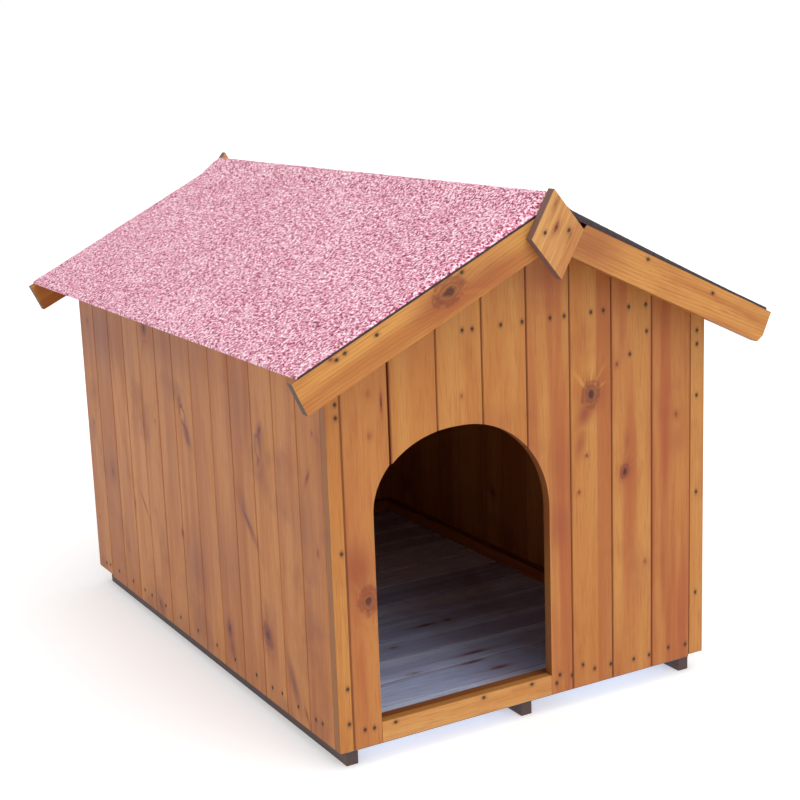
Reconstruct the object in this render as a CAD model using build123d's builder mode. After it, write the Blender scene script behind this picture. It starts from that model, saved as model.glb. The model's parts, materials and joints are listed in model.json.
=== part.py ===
from build123d import *
from math import cos, radians, sin, tan
import os

# Wooden kennel with a gabled roof, an arched doorway and three runners under its floor.
# Millimetres. +X is right seen from the front, the front gable faces -Y, +Z is up.
# The origin is on the ground, under the middle of the whole outline.

# Matchboard stock: tongue and groove boards used for every wall, the floor and the roof.
BOARD_COVER = 88.0
BOARD_T = 18.0
TONGUE_L = 7.0
TONGUE_T = 6.0
JOINT_PLAY = 0.3
JOINT_CHAMFER = 2.0

# Plan of the walls.
FRONT_BOARDS = 8
SIDE_BOARDS = 13
LEFT_STRIP_W = 25.0
RIGHT_STRIP_W = 31.5
LOOSE_JOINT = 3.0
WALL_W = LEFT_STRIP_W + LOOSE_JOINT + FRONT_BOARDS * BOARD_COVER + RIGHT_STRIP_W
WALL_D = BOARD_T + SIDE_BOARDS * BOARD_COVER

# Floor panel and the runners that carry it.
RUNNER_W = 22.0
RUNNER_H = 23.5
RUNNER_INSET = 1.5
MIDDLE_RUNNER_SHIFT = -3.0
FLOOR_T = 20.0
WALL_OVERLAP = 9.5
FLOOR_TOP = RUNNER_H + FLOOR_T
WALL_BOTTOM = FLOOR_TOP - WALL_OVERLAP
STRIP_RISE = 3.0
LAST_BOARD_RISE = 4.0

# Rails inside the walls.
RAIL_T = 20.0
RAIL_H = 25.0
TIE_RAIL_DROP = 1.3
SIDE_TOP_RAIL_DROP = 20.0

# Roof: the felt's two planes would meet at APEX_Z, the fold over the ridge stands higher.
ROOF_SLOPE = 26.5
APEX_Z = 913.7
EAVE_OUT = 78.6
EAVE_DRIP = 15.0
FELT_T = 3.0
FOLD_RISE = 8.3
FOLD_HALF_W = 50.0
FOLD_SHOULDER = 27.0
FOLD_SHOULDER_RISE = 5.5
FRONT_OVERHANG = 73.0
REAR_OVERHANG = 61.0
WALL_TOP_PLAY = 0.2

# Barge boards lie a little flatter than the roof, so a wedge of deck end shows above them.
BARGE_SLOPE = 25.2
BARGE_DEPTH = 58.0
BARGE_T = 17.0
BARGE_TIP_OUT = 89.0
BARGE_PLAY = 0.3
BARGE_CLIP_END = 14.0
BARGE_CLIP_EDGE = 8.0
BARGE_NOTCH_X = 70.5
BARGE_NOTCH = 16.0
FELT_SETBACK = 1.0

# Lozenge boards nailed over the two ends of the ridge.
FINIAL_W = 102.0
FINIAL_H = 146.0
FINIAL_T = 17.0
FINIAL_DROP = 57.7
FRONT_FINIAL_TILT = 4.5
FRONT_FINIAL_SHIFT = 1.0
REAR_FINIAL_TILT = -5.0
REAR_FINIAL_SHIFT = 6.0
REAR_FINIAL_RISE = 5.0

# Battens under the roof that drop inside the walls and keep the loose roof in place.
BATTEN_W = 20.0
BATTEN_H = 22.0
ROOF_FIT = 3.0

# Doorway, sawn by hand: the left half of the arch is fuller than the right half.
DOOR_LEFT = 79.0
DOOR_W = 342.5
DOOR_TOP = 514.5
DOOR_CROWN_SHARE = 0.464
DOOR_LEFT_RISE_SHARE = 0.365
DOOR_BOARD_STEP = 4.0
SILL_H = 36.0
SILL_ROUND = 2.0

# Nail heads, each lying on the face it was driven into.
NAIL_R = 2.7
NAIL_H = 0.8

# Positions that follow from the sizes above.
LEFT = -WALL_W / 2
RIGHT = WALL_W / 2
TOTAL_D = WALL_D + FRONT_OVERHANG + REAR_OVERHANG + 2 * FINIAL_T
FRONT = -TOTAL_D / 2 + FINIAL_T + FRONT_OVERHANG
BACK = FRONT + WALL_D
INNER_LEFT = LEFT + BOARD_T
INNER_RIGHT = RIGHT - BOARD_T
INNER_FRONT = FRONT + BOARD_T
INNER_BACK = BACK - BOARD_T
VERGE_FRONT = FRONT - FRONT_OVERHANG
VERGE_BACK = BACK + REAR_OVERHANG
RISE = tan(radians(ROOF_SLOPE))
BARGE_RISE = tan(radians(BARGE_SLOPE))
FELT_V = FELT_T / cos(radians(ROOF_SLOPE))
DECK_V = BOARD_T / cos(radians(ROOF_SLOPE))
BATTEN_V = BATTEN_H / cos(radians(ROOF_SLOPE))
BARGE_V = BARGE_DEPTH / cos(radians(BARGE_SLOPE))
EAVE_X = WALL_W / 2 + EAVE_OUT
FIRST_BOARD_X = LEFT + LEFT_STRIP_W

os.makedirs("parts", exist_ok=True)


def save(piece, node):
    """Label one finished piece and write it as its own file."""
    piece.label = node
    export_step(piece, f"parts/{node}.step")


def felt_top(x):
    """Height of the felt's plane at a distance from the middle."""
    return APEX_Z - RISE * abs(x)


def deck_top(x):
    """Height of the upper face of the roof boards."""
    return felt_top(x) - FELT_V


def deck_under(x):
    """Height of the lower face of the roof boards."""
    return deck_top(x) - DECK_V


def barge_top(x):
    """Height of a barge board's upper edge, set just under the felt at the eave."""
    eave = deck_top(EAVE_X) - BARGE_PLAY
    return eave + BARGE_RISE * (EAVE_X - abs(x))


def prism(points, y_low, y_high):
    """A solid with the given outline in X and Z, between two distances along Y."""
    with BuildPart() as body:
        with BuildSketch(Plane.XZ.offset(-y_low)):
            with BuildLine():
                Polyline(points, close=True)
            make_face()
        extrude(amount=-(y_high - y_low))
    return body.part


def board_outline(cover, groove, tongue, thickness=BOARD_T):
    """Cross section of one board: across its width, and in from its outer face."""
    half = thickness / 2
    slot = TONGUE_T / 2 + JOINT_PLAY
    edge = cover - JOINT_PLAY if tongue else cover
    points = [(0, JOINT_CHAMFER), (JOINT_CHAMFER, 0)]
    points += [(edge - JOINT_CHAMFER, 0), (edge, JOINT_CHAMFER)]
    if tongue:
        points += [(edge, half - TONGUE_T / 2), (edge + TONGUE_L, half - TONGUE_T / 2)]
        points += [(edge + TONGUE_L, half + TONGUE_T / 2), (edge, half + TONGUE_T / 2)]
    points += [(edge, thickness), (0, thickness)]
    if groove:
        points += [(0, half + slot), (TONGUE_L, half + slot)]
        points += [(TONGUE_L, half - slot), (0, half - slot)]
    return points


def standing_board(points, bottom, top):
    """A board standing upright, from its outline in X and Y."""
    with BuildPart() as body:
        with BuildSketch(Plane.XY.offset(bottom)):
            with BuildLine():
                Polyline(points, close=True)
            make_face()
        extrude(amount=top - bottom)
    return body.part


def box_between(x_low, x_high, y_low, y_high, z_low, z_high):
    """A plain squared timber between two corners."""
    with BuildPart() as body:
        with Locations(((x_low + x_high) / 2, (y_low + y_high) / 2, (z_low + z_high) / 2)):
            Box(x_high - x_low, y_high - y_low, z_high - z_low)
    return body.part


def doorway(board_step):
    """The opening cut through the front wall, with the left side of its arch raised a step."""
    left = LEFT + DOOR_LEFT
    right = left + DOOR_W
    middle = left + DOOR_W / 2
    radius = DOOR_W / 2
    reach = DOOR_W * DOOR_CROWN_SHARE
    rise = DOOR_W * DOOR_LEFT_RISE_SHARE
    top = WALL_BOTTOM + DOOR_TOP + board_step
    left_spring = top - rise
    right_spring = top - radius
    with BuildPart() as opening:
        with BuildSketch(Plane.XZ.offset(-(FRONT - 5))):
            with BuildLine():
                EllipticalCenterArc((left + reach, left_spring), reach, rise, 90, arc_size=90)
                Line((left + reach, top), (middle, top))
                CenterArc((middle, right_spring), radius, 0, 90)
                Line((left, left_spring), (left, WALL_BOTTOM - 5))
                Line((left, WALL_BOTTOM - 5), (right, WALL_BOTTOM - 5))
                Line((right, WALL_BOTTOM - 5), (right, right_spring))
            make_face()
        extrude(amount=-(BOARD_T + 10))
    return opening.part


ROOM_ABOVE = prism(
    [
        (-WALL_W, deck_under(WALL_W) - WALL_TOP_PLAY),
        (0, deck_under(0) - WALL_TOP_PLAY),
        (WALL_W, deck_under(WALL_W) - WALL_TOP_PLAY),
        (WALL_W, APEX_Z + 100),
        (-WALL_W, APEX_Z + 100),
    ],
    FRONT - 50,
    BACK + 50,
)
DOORWAY = doorway(0)
DOORWAY_STEPPED = doorway(DOOR_BOARD_STEP)

# Front wall: boards between two corner strips. The tongue of the first board shows.
for number in range(1, FRONT_BOARDS + 1):
    start = FIRST_BOARD_X + (number - 1) * BOARD_COVER
    if number > 1:
        start += LOOSE_JOINT
    outline = board_outline(BOARD_COVER, number > 1, number < FRONT_BOARDS)
    with BuildPart() as front_board:
        add(standing_board([(start + u, FRONT + v) for u, v in outline], WALL_BOTTOM, APEX_Z))
        add(ROOM_ABOVE, mode=Mode.SUBTRACT)
        if number == 1:
            add(DOORWAY_STEPPED, mode=Mode.SUBTRACT)
        else:
            add(DOORWAY, mode=Mode.SUBTRACT)
    save(front_board.part, f"front_board_{number}")


def corner_strip(x_low, x_high, bottom):
    """A lath that covers the end of a side wall, flush with the front boards."""
    edge = JOINT_CHAMFER / 2
    points = [(x_low, FRONT + edge), (x_low + edge, FRONT), (x_high - edge, FRONT)]
    points += [(x_high, FRONT + edge), (x_high, INNER_FRONT), (x_low, INNER_FRONT)]
    return standing_board(points, bottom, APEX_Z)


with BuildPart() as front_strip_left:
    add(corner_strip(LEFT, FIRST_BOARD_X, WALL_BOTTOM))
    add(ROOM_ABOVE, mode=Mode.SUBTRACT)
save(front_strip_left.part, "front_strip_left")

with BuildPart() as front_strip_right:
    add(corner_strip(RIGHT - RIGHT_STRIP_W, RIGHT, WALL_BOTTOM + STRIP_RISE))
    add(ROOM_ABOVE, mode=Mode.SUBTRACT)
save(front_strip_right.part, "front_strip_right")

# Sill board across the foot of the doorway, flush with the wall.
with BuildPart() as door_sill:
    with BuildSketch(Plane.XZ.offset(-FRONT)):
        with Locations((LEFT + DOOR_LEFT + DOOR_W / 2, WALL_BOTTOM + SILL_H / 2)):
            Rectangle(DOOR_W - 2 * JOINT_PLAY, SILL_H)
    extrude(amount=-BOARD_T)
    fillet(door_sill.edges().filter_by(Axis.X).group_by(Axis.Z)[-1], SILL_ROUND)
save(door_sill.part, "door_sill")

# Left wall: the boards run from the front strip to the rear edge of the house.
for number in range(1, SIDE_BOARDS + 1):
    start = INNER_FRONT + (number - 1) * BOARD_COVER
    bottom = WALL_BOTTOM + (LAST_BOARD_RISE if number == SIDE_BOARDS else 0)
    outline = board_outline(BOARD_COVER, number > 1, number < SIDE_BOARDS)
    with BuildPart() as left_board:
        add(standing_board([(LEFT + v, start + u) for u, v in outline], bottom, APEX_Z))
        add(ROOM_ABOVE, mode=Mode.SUBTRACT)
    save(left_board.part, f"left_board_{number}")

# Right wall, the mirror image of the left one.
with BuildPart() as right_wall_boards:
    for number in range(1, SIDE_BOARDS + 1):
        start = INNER_FRONT + (number - 1) * BOARD_COVER
        outline = board_outline(BOARD_COVER, number > 1, number < SIDE_BOARDS)
        add(standing_board([(RIGHT - v, start + u) for u, v in outline], WALL_BOTTOM, APEX_Z))
    add(ROOM_ABOVE, mode=Mode.SUBTRACT)
save(right_wall_boards.part, "right_wall_boards")


def spread_boards(length):
    """Starts and widths of boards that fill a length, the last one ripped to fit."""
    count = int(length // BOARD_COVER)
    widths = [BOARD_COVER] * count
    rest = length - count * BOARD_COVER
    if rest > 4 * TONGUE_L:
        widths.append(rest)
    elif rest > 0:
        widths[-1] = (BOARD_COVER + rest) / 2
        widths.append((BOARD_COVER + rest) / 2)
    starts = [sum(widths[:i]) for i in range(len(widths))]
    return list(zip(starts, widths))


# Rear wall, set between the side walls and closing the floor panel's end.
REAR_ROW = spread_boards(INNER_RIGHT - INNER_LEFT)
with BuildPart() as rear_wall_boards:
    for number, (offset, width) in enumerate(REAR_ROW):
        outline = board_outline(width, number > 0, number < len(REAR_ROW) - 1)
        start = INNER_LEFT + offset
        add(standing_board([(start + u, BACK - v) for u, v in outline], WALL_BOTTOM, APEX_Z))
    add(ROOM_ABOVE, mode=Mode.SUBTRACT)
save(rear_wall_boards.part, "rear_wall_boards")

# Floor: boards lying across the house.
FLOOR_ROW = spread_boards(INNER_BACK - INNER_FRONT)
with BuildPart() as floor_boards:
    for number, (offset, width) in enumerate(FLOOR_ROW):
        outline = board_outline(width, number > 0, number < len(FLOOR_ROW) - 1, FLOOR_T)
        with BuildSketch(Plane.YZ.offset(INNER_LEFT)):
            with BuildLine():
                Polyline(
                    [(INNER_FRONT + offset + u, FLOOR_TOP - v) for u, v in outline],
                    close=True,
                )
            make_face()
        extrude(amount=INNER_RIGHT - INNER_LEFT, mode=Mode.ADD)
save(floor_boards.part, "floor_boards")

# Three runners under the floor, as long as the floor panel.
runner_starts = {
    "left": INNER_LEFT + RUNNER_INSET,
    "middle": MIDDLE_RUNNER_SHIFT - RUNNER_W / 2,
    "right": INNER_RIGHT - RUNNER_INSET - RUNNER_W,
}
for side, start in runner_starts.items():
    with BuildPart() as runner:
        add(box_between(start, start + RUNNER_W, INNER_FRONT, INNER_BACK, 0, RUNNER_H))
    save(runner.part, f"runner_{side}")

# Rails on the floor along the foot of the four walls.
RAIL_LEFT = INNER_LEFT + RAIL_T
RAIL_RIGHT = INNER_RIGHT - RAIL_T
BOTTOM_RAIL_TOP = FLOOR_TOP + RAIL_H
with BuildPart() as bottom_rail_left:
    add(box_between(INNER_LEFT, RAIL_LEFT, INNER_FRONT, INNER_BACK, FLOOR_TOP, BOTTOM_RAIL_TOP))
save(bottom_rail_left.part, "bottom_rail_left")

with BuildPart() as bottom_rail_right:
    add(box_between(RAIL_RIGHT, INNER_RIGHT, INNER_FRONT, INNER_BACK, FLOOR_TOP, BOTTOM_RAIL_TOP))
save(bottom_rail_right.part, "bottom_rail_right")

with BuildPart() as bottom_rail_front:
    add(
        box_between(
            RAIL_LEFT, RAIL_RIGHT, INNER_FRONT, INNER_FRONT + RAIL_T, FLOOR_TOP, BOTTOM_RAIL_TOP
        )
    )
    fillet(bottom_rail_front.edges().filter_by(Axis.X).group_by(Axis.Z)[-1], SILL_ROUND)
save(bottom_rail_front.part, "bottom_rail_front")

with BuildPart() as bottom_rail_rear:
    add(
        box_between(
            RAIL_LEFT, RAIL_RIGHT, INNER_BACK - RAIL_T, INNER_BACK, FLOOR_TOP, BOTTOM_RAIL_TOP
        )
    )
save(bottom_rail_rear.part, "bottom_rail_rear")

# Rails along the top of the side walls, and tie rails across the two gables.
SIDE_TOP_RAIL_Z = deck_under(LEFT) - SIDE_TOP_RAIL_DROP - RAIL_H
for side, x_low in (("left", INNER_LEFT), ("right", RAIL_RIGHT)):
    with BuildPart() as top_rail:
        add(
            box_between(
                x_low,
                x_low + RAIL_T,
                INNER_FRONT,
                INNER_BACK,
                SIDE_TOP_RAIL_Z,
                SIDE_TOP_RAIL_Z + RAIL_H,
            )
        )
    save(top_rail.part, f"top_rail_{side}")

TIE_TOP = deck_under(RAIL_RIGHT) - TIE_RAIL_DROP
TIE_RAIL_Z = TIE_TOP - RAIL_H / 2
for side, y_low in (("front", INNER_FRONT), ("rear", INNER_BACK - RAIL_T)):
    with BuildPart() as tie_rail:
        add(
            box_between(
                RAIL_LEFT,
                RAIL_RIGHT,
                y_low,
                y_low + RAIL_T,
                TIE_TOP - RAIL_H,
                TIE_TOP,
            )
        )
        add(ROOM_ABOVE, mode=Mode.SUBTRACT)
    save(tie_rail.part, f"top_rail_{side}")

# Roof boards on each slope, between the barge boards of the two gables.
DECK_FRONT = VERGE_FRONT + BARGE_T
DECK_BACK = VERGE_BACK - BARGE_T
SLOPE_LENGTH = (EAVE_X - EAVE_DRIP) / cos(radians(ROOF_SLOPE))


def roof_boards(side):
    """The boards of one slope, laid along the ridge; side is -1 for left and 1 for right."""
    down = (side * cos(radians(ROOF_SLOPE)), -sin(radians(ROOF_SLOPE)))
    inward = (-side * sin(radians(ROOF_SLOPE)), -cos(radians(ROOF_SLOPE)))
    row = spread_boards(SLOPE_LENGTH)
    with BuildPart() as slope:
        for number, (offset, width) in enumerate(row):
            outline = board_outline(width, number > 0, number < len(row) - 1)
            points = []
            for u, v in outline:
                along = SLOPE_LENGTH - offset - u
                x = along * down[0] + v * inward[0]
                z = deck_top(0) + along * down[1] + v * inward[1]
                points.append((x, z))
            add(prism(points, DECK_FRONT, DECK_BACK))
        with BuildSketch(Plane.XZ.offset(-(DECK_FRONT - 5))):
            with Locations((-side * WALL_W / 2, APEX_Z)):
                Rectangle(WALL_W, 2 * WALL_W)
        extrude(amount=-(DECK_BACK - DECK_FRONT + 10), mode=Mode.SUBTRACT)
    return slope.part


save(roof_boards(-1), "roof_boards_left")
save(roof_boards(1), "roof_boards_right")


def felt_outline(slope_height):
    """Section of the felt sheet, given the height of its slopes: a fold stands at the ridge."""
    half = [
        (EAVE_X, slope_height(EAVE_X)),
        (FOLD_HALF_W, slope_height(FOLD_HALF_W)),
        (FOLD_SHOULDER, felt_top(FOLD_SHOULDER) + FOLD_SHOULDER_RISE),
    ]
    upper = [(-x, z) for x, z in half] + [(0, APEX_Z + FOLD_RISE)] + half[::-1]
    lower = [(x, z - FELT_V) for x, z in upper]
    return upper + lower[::-1]


def felt_on_barge(x):
    """Height of the felt where it has been pressed down onto the barge boards."""
    return barge_top(x) + BARGE_PLAY + FELT_V


# One sheet of felt over both slopes. At the front it is rolled down over the ends of the
# roof boards onto the barge boards.
with BuildPart() as roof_felt:
    add(prism(felt_outline(felt_top), DECK_FRONT, VERGE_BACK - FELT_SETBACK))
    for height, y in ((felt_top, DECK_FRONT), (felt_on_barge, VERGE_FRONT + FELT_SETBACK)):
        with BuildSketch(Plane.XZ.offset(-y)):
            with BuildLine():
                Polyline(felt_outline(height), close=True)
            make_face()
    loft(ruled=True)
save(roof_felt.part, "roof_felt")


def barge_outline(side, clipped, notched):
    """Outline of a barge board in X and Z: square at the eave, plumb at the ridge."""
    cut_x = BARGE_DEPTH * sin(radians(BARGE_SLOPE))
    cut_z = BARGE_DEPTH * cos(radians(BARGE_SLOPE))
    tip_x = WALL_W / 2 + BARGE_TIP_OUT
    tip = (tip_x, barge_top(tip_x))
    foot = (tip_x - cut_x, barge_top(tip_x) - cut_z)
    points = []
    if notched:
        points.append((0, barge_top(BARGE_NOTCH_X) - BARGE_NOTCH))
        points.append((BARGE_NOTCH_X - BARGE_NOTCH, barge_top(BARGE_NOTCH_X) - BARGE_NOTCH))
        points.append((BARGE_NOTCH_X, barge_top(BARGE_NOTCH_X)))
    else:
        points.append((0, barge_top(0)))
    points.append(tip)
    if clipped:
        end = BARGE_CLIP_END / BARGE_DEPTH
        points.append((foot[0] + cut_x * end, foot[1] + cut_z * end))
        run = BARGE_CLIP_EDGE * cos(radians(BARGE_SLOPE))
        points.append((foot[0] - run, foot[1] + run * BARGE_RISE))
    else:
        points.append(foot)
    points.append((0, barge_top(0) - BARGE_V))
    return [(side * x, z) for x, z in points]


# Barge boards nailed to the ends of the roof boards, two on each gable.
with BuildPart() as barge_front_left:
    add(prism(barge_outline(-1, False, False), VERGE_FRONT, DECK_FRONT))
save(barge_front_left.part, "barge_front_left")

with BuildPart() as barge_front_right:
    add(prism(barge_outline(1, True, True), VERGE_FRONT, DECK_FRONT))
save(barge_front_right.part, "barge_front_right")

with BuildPart() as barge_rear_left:
    add(prism(barge_outline(-1, False, False), DECK_BACK, VERGE_BACK))
save(barge_rear_left.part, "barge_rear_left")

with BuildPart() as barge_rear_right:
    add(prism(barge_outline(1, False, False), DECK_BACK, VERGE_BACK))
save(barge_rear_right.part, "barge_rear_right")


def finial(x, z, tilt, y_low):
    """A lozenge board standing on one corner, tilted about the line of sight."""
    corners = [(0, FINIAL_H / 2), (FINIAL_W / 2, 0), (0, -FINIAL_H / 2), (-FINIAL_W / 2, 0)]
    with BuildPart() as lozenge:
        with BuildSketch(Plane.XZ.offset(-y_low)):
            with Locations((x, z)):
                Polygon(*corners, rotation=tilt)
        extrude(amount=-FINIAL_T)
    return lozenge.part


front_finial_z = APEX_Z - FINIAL_DROP
rear_finial_z = front_finial_z + REAR_FINIAL_RISE
front_finial_y = VERGE_FRONT - FINIAL_T
save(finial(FRONT_FINIAL_SHIFT, front_finial_z, FRONT_FINIAL_TILT, front_finial_y), "finial_front")
save(finial(REAR_FINIAL_SHIFT, rear_finial_z, REAR_FINIAL_TILT, VERGE_BACK), "finial_rear")

# Battens across the underside of the roof boards, just inside the walls and the tie rails.
BATTEN_FOOT = INNER_RIGHT - ROOF_FIT
batten_front = INNER_FRONT + RAIL_T + ROOF_FIT
batten_rear = INNER_BACK - RAIL_T - ROOF_FIT - BATTEN_W
for end, y_low in (("front", batten_front), ("rear", batten_rear)):
    for side_name, side in (("left", -1), ("right", 1)):
        section = [
            (0, deck_under(0)),
            (side * BATTEN_FOOT, deck_under(BATTEN_FOOT)),
            (side * BATTEN_FOOT, deck_under(BATTEN_FOOT) - BATTEN_V),
            (0, deck_under(0) - BATTEN_V),
        ]
        with BuildPart() as roof_batten:
            add(prism(section, y_low, y_low + BATTEN_W))
        save(roof_batten.part, f"roof_batten_{end}_{side_name}")


def heads(spots, plane):
    """Nail heads lying on one plane, at the given places in it."""
    with BuildPart() as group:
        with BuildSketch(plane):
            with Locations(*spots):
                Circle(NAIL_R)
        extrude(amount=NAIL_H)
    return group.part


def front_x(board, share):
    """Distance from the middle of a place on a front board, counted across its width."""
    loose = LOOSE_JOINT if board > 1 else 0
    return FIRST_BOARD_X + loose + (board - 1 + share) * BOARD_COVER


def side_y(board, share):
    """Distance along the house of a place on a side board."""
    return INNER_FRONT + (board - 1 + share) * BOARD_COVER


FRONT_FACE = Plane.XZ.offset(-FRONT)
LEFT_FACE = Plane(origin=(LEFT, 0, 0), x_dir=(0, -1, 0), z_dir=(-1, 0, 0))
RIGHT_FACE = Plane(origin=(RIGHT, 0, 0), x_dir=(0, 1, 0), z_dir=(1, 0, 0))
BACK_FACE = Plane(origin=(0, BACK, 0), x_dir=(-1, 0, 0), z_dir=(0, 1, 0))

# Front wall: nails into the bottom rail, as board, share of its width, share of the rail's height.
front_nails = [(1, 0.25, 0.86), (1, 0.45, 0.82), (5, 0.59, 0.38), (5, 0.67, 0.94)]
front_nails += [(5, 0.97, 0.66), (6, 0.24, 1.22), (6, 0.53, 0.70), (6, 0.94, 0.70)]
front_nails += [(7, 0.53, 0.58), (7, 0.93, 0.58), (8, 0.44, 0.74), (8, 0.89, 0.62)]
front_spots = [(front_x(board, u), FLOOR_TOP + RAIL_H * v) for board, u, v in front_nails]

# Front wall: a row into the tie rail, and two nails that missed it, in heights of the rail below.
tie_nails = [(3, 0.58, 0), (3, 0.80, 0), (4, 0.43, 0), (4, 0.91, 0), (5, 0.55, 0), (5, 0.88, 0)]
tie_nails += [(6, 0.51, 0), (6, 0.81, 0), (7, 0.43, 0), (7, 0.85, 0)]
tie_nails += [(7, 0.87, 1.88), (7, 0.45, 3.32)]
front_spots += [(front_x(board, u), TIE_RAIL_Z - RAIL_H * v) for board, u, v in tie_nails]
save(heads(front_spots, FRONT_FACE), "front_wall_nails")

# Corner strips: nailed along their length into the edges of the side walls.
STRIP_L = deck_under(LEFT) - WALL_BOTTOM
left_strip_x = LEFT + LEFT_STRIP_W * 0.74
right_strip_x = RIGHT - RIGHT_STRIP_W * 0.56
left_shares = (0.072, 0.164, 0.509, 0.842, 0.874)
right_shares = (0.183, 0.472, 0.742, 0.882, 0.919)
strip_spots = [(left_strip_x, WALL_BOTTOM + STRIP_L * v) for v in left_shares]
strip_spots += [(right_strip_x, WALL_BOTTOM + STRIP_L * v) for v in right_shares]
save(heads(strip_spots, FRONT_FACE), "strip_nails")

# Sill: three nails into the rail behind it.
sill_z = WALL_BOTTOM + SILL_H * 0.83
sill_spots = [(LEFT + DOOR_LEFT + DOOR_W * u, sill_z) for u in (0.076, 0.584, 0.876)]
save(heads(sill_spots, FRONT_FACE), "sill_nails")

# Side walls: one or two nails in each board at the bottom rail, and one at the top rail.
side_nails = [(1, 0.48, 0.86), (1, 0.76, 0.78), (2, 0.52, 0.74), (3, 0.23, 0.82)]
side_nails += [(3, 0.68, 0.70), (4, 0.43, 0.74), (5, 0.5, 0.66), (6, 0.45, 0.70), (7, 0.5, 0.70)]
side_nails += [(8, 0.5, 0.70), (9, 0.41, 0.70), (10, 0.28, 0.70), (10, 0.74, 0.70)]
side_nails += [(11, 0.52, 0.70), (12, 0.51, 0.62), (13, 0.16, 0.58), (13, 0.43, 0.50)]
side_spots = [(side_y(board, u), FLOOR_TOP + RAIL_H * v) for board, u, v in side_nails]
upper_z = SIDE_TOP_RAIL_Z + RAIL_H / 2
side_spots += [(side_y(board, 0.5), upper_z) for board in range(1, SIDE_BOARDS + 1)]
save(heads([(-y, z) for y, z in side_spots], LEFT_FACE), "left_wall_nails")
save(heads(side_spots, RIGHT_FACE), "right_wall_nails")

# Rear wall: a nail in each board at the bottom rail and, where the gable is tall enough, one
# at the tie rail.
rear_spots = []
for offset, width in REAR_ROW:
    x = INNER_LEFT + offset + width / 2
    rear_spots.append((-x, FLOOR_TOP + RAIL_H * 0.7))
    if TIE_RAIL_Z < deck_under(x) - 4 * NAIL_R:
        rear_spots.append((-x, TIE_RAIL_Z))
save(heads(rear_spots, BACK_FACE), "rear_wall_nails")


def barge_spots(shares):
    """Places on the barge boards: shares of the way to the eave, and of the board's depth."""
    return [(EAVE_X * u, barge_top(EAVE_X * u) - BARGE_DEPTH * v) for u, v in shares]


# Barge boards: nails near the upper edge, into the ends of the roof boards.
BARGE_FACE = Plane.XZ.offset(-VERGE_FRONT)
REAR_BARGE_FACE = Plane(origin=(0, VERGE_BACK, 0), x_dir=(-1, 0, 0), z_dir=(0, 1, 0))
front_shares = [(-0.856, 0.16), (-0.825, 0.13), (-0.704, 0.22), (-0.369, 0.10)]
front_shares += [(0.424, 0.16), (0.730, 0.26)]
rear_shares = [(-0.76, 0.2), (-0.41, 0.2), (0.41, 0.2), (0.76, 0.2)]
with BuildPart() as barge_nails:
    add(heads(barge_spots(front_shares), BARGE_FACE))
    add(heads(barge_spots(rear_shares), REAR_BARGE_FACE))
save(barge_nails.part, "barge_nails")

# Finials: two nails each.
FRONT_FINIAL_FACE = Plane.XZ.offset(-front_finial_y)
REAR_FINIAL_FACE = Plane(origin=(0, VERGE_BACK + FINIAL_T, 0), x_dir=(-1, 0, 0), z_dir=(0, 1, 0))
front_pair = [(FINIAL_W * u, front_finial_z + FINIAL_H * 0.034) for u in (-0.235, 0.216)]
rear_pair = [(FINIAL_W * u - REAR_FINIAL_SHIFT, rear_finial_z) for u in (-0.216, 0.216)]
with BuildPart() as finial_nails:
    add(heads(front_pair, FRONT_FINIAL_FACE))
    add(heads(rear_pair, REAR_FINIAL_FACE))
save(finial_nails.part, "finial_nails")
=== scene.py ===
# %% [markdown]
# # A wooden kennel with a pink felt roof
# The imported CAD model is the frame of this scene. Every timber, the felt and the nails are
# already in the right place and at the right size there. This script dresses them: it rounds
# the sawn edges, lays a real sheet of felt over the roof boards, and gives each board its grain,
# knots and stains. Everything is in metres, +X to the right, the front gable towards -Y, +Z up.

# %% Load the frame
import json
from math import cos, degrees, pi, radians, sin, sqrt, tan

import bmesh
import bpy
from mathutils import Matrix, Vector, noise

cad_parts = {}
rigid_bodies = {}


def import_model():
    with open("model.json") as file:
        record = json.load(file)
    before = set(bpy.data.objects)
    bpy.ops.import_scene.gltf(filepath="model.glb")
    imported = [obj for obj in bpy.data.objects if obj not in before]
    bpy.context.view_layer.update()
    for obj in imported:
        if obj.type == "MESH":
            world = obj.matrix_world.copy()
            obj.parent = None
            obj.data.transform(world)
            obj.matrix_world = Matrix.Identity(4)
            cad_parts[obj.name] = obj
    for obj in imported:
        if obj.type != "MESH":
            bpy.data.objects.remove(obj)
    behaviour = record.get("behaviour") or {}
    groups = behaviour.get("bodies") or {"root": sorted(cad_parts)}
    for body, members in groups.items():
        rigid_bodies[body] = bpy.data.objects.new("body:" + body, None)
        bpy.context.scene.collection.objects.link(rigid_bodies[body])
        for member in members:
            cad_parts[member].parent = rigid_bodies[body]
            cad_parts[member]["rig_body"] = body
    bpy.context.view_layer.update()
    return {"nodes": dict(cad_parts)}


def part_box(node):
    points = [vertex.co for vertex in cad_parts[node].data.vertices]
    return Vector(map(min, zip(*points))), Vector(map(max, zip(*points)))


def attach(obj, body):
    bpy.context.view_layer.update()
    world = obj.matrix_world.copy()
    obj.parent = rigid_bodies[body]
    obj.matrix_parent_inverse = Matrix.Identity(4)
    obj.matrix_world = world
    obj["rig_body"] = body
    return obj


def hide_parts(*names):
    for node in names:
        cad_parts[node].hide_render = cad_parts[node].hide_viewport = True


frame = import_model()
MM = 0.001
scene = bpy.context.scene

# %% [markdown]
# ## Sizes that the looks need
# The finishes follow the boards, so they need to know where each board starts. The first seam of
# every wall is read from the frame, and the cover of a board is the distance between two seams.

# %% Where the boards start
COVER = 88 * MM
SIDE_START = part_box("left_board_1")[0].y
FRONT_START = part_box("front_board_2")[0].x - COVER
REAR_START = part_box("rear_wall_boards")[0].x
print("boards start: front", round(FRONT_START, 4), "side", round(SIDE_START, 4),
      "rear", round(REAR_START, 4))

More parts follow.
